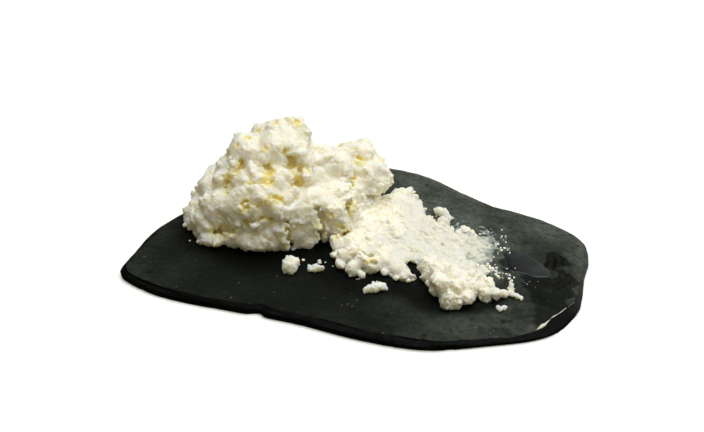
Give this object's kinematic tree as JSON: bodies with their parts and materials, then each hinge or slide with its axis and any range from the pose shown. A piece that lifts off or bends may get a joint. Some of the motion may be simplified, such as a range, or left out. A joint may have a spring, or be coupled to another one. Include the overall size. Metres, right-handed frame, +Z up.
{
  "type": "crumbled ricotta on a slate board",
  "caption": "A mound of crumbly white ricotta, broken down at one side into a low spread of curds, on a thin natural-edged dark slate board.",
  "frame": {"origin": "centre of the slate board's footprint, on the surface that it stands on", "axes": "+X along the board's length, -Y towards the side that it is served from, +Z up"},
  "size_m": [0.26, 0.176, 0.0674],
  "materials": {
    "slate": "riven natural slate, dark grey, damp in places",
    "ricotta": "moist crumbly curd, white with butter-yellow hollows"
  },
  "bodies": {
    "root": {"slate_board": "slate", "ricotta_mound": "ricotta", "ricotta_spread": "ricotta", "loose_curd_1": "ricotta", "loose_curd_2": "ricotta", "loose_curd_3": "ricotta", "loose_curd_4": "ricotta", "loose_curd_5": "ricotta"}
  },
  "joints": []
}
